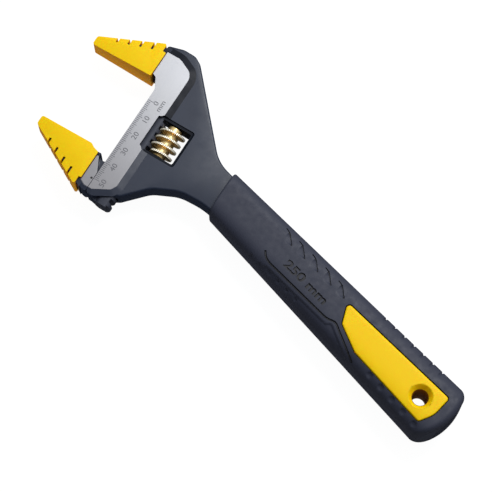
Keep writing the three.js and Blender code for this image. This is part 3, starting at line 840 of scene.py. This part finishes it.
def scoop(x, y, k):
    """The hollow along the long arm of chevron `k`, as a share of its full depth."""
    arm = np.array(CHEVRON[-1]) - np.array(CHEVRON[1])
    length = np.hypot(*arm)
    along_way = arm / length
    across_way = np.array((along_way[1], -along_way[0]))
    dx, dy = x - CHEVRON[1][0] - k * CHEVRON_PITCH, y - CHEVRON[1][1]
    along = (dx * along_way[0] + dy * along_way[1]) / length
    across = dx * across_way[0] + dy * across_way[1]
    width = SCOOP_WIDTH * np.clip(1 - (2 * along - 0.9) ** 2, 0, 1)
    share = np.clip(1 - np.clip(across, 0, None) / np.maximum(width, 1e-3), 0, 1)
    return share * (across > -0.15) * (width > 0.05)


def dimple(x, y, at_x, at_y, half_x, half_y):
    """An oval dent with a flat bottom, as a share of its full depth."""
    return np.exp(-(((x - at_x) / half_x) ** 2 + ((y - at_y) / half_y) ** 2) ** 2)


def relief(points):
    """How far the grip's skin is pushed in at each point, in millimetres."""
    x, y, z = points[:, 0], points[:, 1], points[:, 2]
    depth = np.zeros(len(points))
    facing = np.clip(np.abs(z) / 4, 0, 1)
    for k in range(CHEVRONS):
        depth += SCOOP_DEPTH * scoop(x, y, k) * facing
    depth += LEDGE_DEPTH * smooth_step(below_contour(x, y), 1.7, 3.0) * smooth_step(np.abs(z), 5, 8.5)
    small, large, notch = 0.5, 0.7, 0.6  # depths
    for k in range(6):  # small dimples under the front hand
        depth += small * dimple(x, y, 5.7 + 6.25 * k, -12.2, 1.0, 0.7) * facing
    for k in range(5):  # larger dimples beside the inlay
        depth += large * dimple(x, y, 89.3 + 7.9 * k, -12.0 - 0.35 * k, 1.5, 1.3) * facing
    for k in range(7):  # notches across the upper edge
        across = (x - (74.2 + 6.33 * k)) / 0.5
        depth += notch * np.exp(-(across**4)) * np.clip((y - 11.8) / 1.5, 0, 1)
    return depth


def grip_skin(spacing, sides):
    """The outer skin with its scoops, dimples and notches pressed in along the surface normal."""
    grid = np.array(grip_rings(spacing, sides))
    along = np.gradient(grid, axis=0)
    around = (np.roll(grid, -1, axis=1) - np.roll(grid, 1, axis=1)) / 2
    normal = np.cross(around, along)
    normal /= np.maximum(np.linalg.norm(normal, axis=2, keepdims=True), 1e-9)
    outward = np.sign(np.sum(normal * (grid - grid.mean(axis=1, keepdims=True)), axis=2, keepdims=True))
    flat = grid.reshape(-1, 3)
    pressed = grid - normal * outward * relief(flat).reshape(grid.shape[0], grid.shape[1], 1)
    return ring_grid(pressed)


def add_grip_overmould(rubber, shade):
    """The soft grip, with the inlay's seat, the shank's slot, the grooves and the size mark cut into it. The walls
    of the grooves and the mark carry painted shade.
    """
    piece = add_mesh("grip_rubber", *grip_skin(0.35, 256), TO_HANDLE, rubber)
    inlay = rounded_outline(INLAY_OUTLINE, INLAY_GAP)
    ahead, above = 60, 30  # both well outside the grip
    shank = [(-ahead, -SHANK_HALF_WIDTH), (SHANK_TO, -SHANK_HALF_WIDTH),
             (SHANK_TO, SHANK_HALF_WIDTH), (-ahead, SHANK_HALF_WIDTH)]
    cutters = [prism("cut_inlay", inlay, -above, above, TO_HANDLE),
               prism("cut_shank", shank, -SHANK_HALF_THICKNESS, SHANK_HALF_THICKNESS, TO_HANDLE)]
    grooves = []
    for side in (1, -1):
        grooves.append(tube(groove_path(CONTOUR, CONTOUR_SINK, side), CONTOUR_R))
        for k in range(CHEVRONS):
            shifted = [(x + k * CHEVRON_PITCH, y) for x, y in CHEVRON]
            grooves.append(tube(groove_path(shifted, CHEVRON_SINK, side, smoothing=1), CHEVRON_R))
    # the groove walls and the size mark take this dark material from their cutters: painted shade
    cutters.append(add_mesh("cut_grooves", *gather(grooves), TO_HANDLE, shade))
    mark_z = grip_height(34.5, -2.2)
    mark = text_mesh("250 mm", 4.6, (34.8, -2.2), (1.36, 0), (0, 1), z=mark_z, thickness=1.6, bold=0.03)
    cutters.append(add_mesh("cut_mark", *mark, TO_HANDLE, shade))
    carve(piece, cutters)
    smooth_by_angle(piece, 35)
    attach(piece, "frame")
    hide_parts("grip_overmould")


def inside(point, loop, margin):
    """True if a point is inside a closed loop and at least `margin` from it."""
    crossings = 0
    for a, b in zip(loop, loop[1:] + loop[:1]):
        if (a.y > point.y) != (b.y > point.y):
            crossings += point.x < a.x + (point.y - a.y) * (b.x - a.x) / (b.y - a.y)
        way = b - a
        along = max(0, min(1, (point - a).dot(way) / max(way.length_squared, 1e-9)))
        if (a + along * way - point).length < margin:
            return False
    return crossings % 2 == 1


def inlay_point(point, side, drop):
    """A 2-D point lifted to `drop` below the inlay's face, on one side of the grip."""
    return point.x, point.y, side * (grip_height(point.x, point.y) - INLAY_SINK - drop)


def inlay_rim():
    """The inlay's outline at steps up its rounded rim, each with its drop below the inlay's face."""
    loops = []
    for degrees in (0, 22, 45, 68, 90):
        a = math.radians(degrees)
        loop = rounded_outline(INLAY_OUTLINE, -INLAY_RIM * (1 - math.cos(a)))
        loops.append((loop, INLAY_RIM * (1 - math.sin(a))))
    return loops


def hole_funnel():
    """Circles from the hang hole's mouth down to its waist, each with its drop below the inlay's face."""
    waist_drop = grip_height(*HANG_HOLE.xy) - 1
    profile = [(HOLE_MOUTH + 0.3, 0), (HOLE_MOUTH, 0.06), (HOLE_MOUTH - 0.2, 0.25),
               (HOLE_R + 0.3, HOLE_DEPTH - 0.4), (HOLE_R + 0.05, HOLE_DEPTH),
               (HOLE_R - 0.05, HOLE_DEPTH + 0.4), (HOLE_WAIST, waist_drop)]
    sides = 64
    loops = []
    for radius, drop in profile:
        circle = []
        for k in range(sides):
            turn = 2 * math.pi * k / sides
            x = HANG_HOLE.x + radius * math.cos(turn)
            y = HANG_HOLE.y + radius * math.sin(turn)
            circle.append(Vector((x, y)))
        loops.append((circle, drop))
    return loops


def face_triangles(rim, mouth):
    """Points and triangles between the rim and the hole's mouth: the two loops, then a grid inside them."""
    spacing, rim_gap, mouth_gap = 1.4, 0.7, 0.9
    border = rim + mouth
    grid_x = np.arange(min(p.x for p in border), max(p.x for p in border), spacing)
    grid_y = np.arange(min(p.y for p in border), max(p.y for p in border), spacing)

    def from_hole(point):
        return (point - HANG_HOLE.xy).length

    grid = [Vector((x, y)) for x in grid_x for y in grid_y]
    grid = [p for p in grid if from_hole(p) > HOLE_MOUTH + mouth_gap and inside(p, rim, rim_gap)]
    loops = [list(range(len(rim))), list(range(len(rim), len(border)))[::-1]]
    points, _, triangles, _, _, _ = delaunay_2d_cdt(border + grid, [], loops, 1, 1e-5)
    kept = [t for t in triangles if from_hole(sum((points[i] for i in t), Vector((0, 0))) / 3) > HOLE_MOUTH]
    return points, kept


def add_grip_core(yellow):
    """The hard core: an inlay on each face, joined through the grip, with the hang hole through both."""
    points, faces = [], []
    ends = []
    for side in (1, -1):
        starts = []
        rim, funnel = inlay_rim(), hole_funnel()
        for loop, drop in rim + funnel:
            starts.append((len(points), len(loop)))
            points += [inlay_point(p, side, drop) for p in loop]
        rim_starts, funnel_starts = starts[:len(rim)], starts[len(rim):]
        for group in (rim_starts, funnel_starts):
            for (a, count), (b, _) in zip(group, group[1:]):
                faces += quads(a, b, count)
        verts, triangles = face_triangles(rim[-1][0], funnel[0][0])
        index = [start + i for start, count in (rim_starts[-1], funnel_starts[0]) for i in range(count)]
        grid = verts[len(index):]
        index += range(len(points), len(points) + len(grid))
        points += [inlay_point(p, side, 0) for p in grid]
        faces += [tuple(index[i] for i in t) for t in triangles]
        ends.append((rim_starts[0], funnel_starts[-1]))
    for (a, count), (b, _) in zip(*ends):
        faces += quads(a, b, count)
    piece = add_mesh("grip_inlay", points, faces, TO_HANDLE, yellow)
    # the hole's walls get a dark brown: painted shade
    piece.data.materials.append(dark_mark("hole_painted_shade", (0.16, 0.055, 0.002)))
    to_handle = TO_HANDLE.inverted()
    for face in piece.data.polygons:
        centre = to_handle @ face.center
        face.material_index = int((centre.xy - HANG_HOLE.xy).length < HOLE_R + 0.2)
    smooth_by_angle(piece, 40)
    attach(piece, "frame")
    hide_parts("grip_core")


# ---- put together ----

target, right, up = add_camera()
add_lights(target, right, up)
add_floor()
yellow = yellow_plastic()
add_steel()
add_scale_marks()
add_caps(yellow, yellow_plastic("yellow_painted_shade", (0.72, 0.30, 0.002), (0.66, 0.27, 0.003)))
add_worm()
add_grip_overmould(grey_rubber(), dark_mark("recess_painted_shade", (0.004, 0.004, 0.007)))
add_grip_core(yellow)

zinc = zinc_plate()
for node in ("worm_pin", "worm_spring"):
    mesh = frame["nodes"][node].data
    mesh.materials.clear()
    mesh.materials.append(zinc)
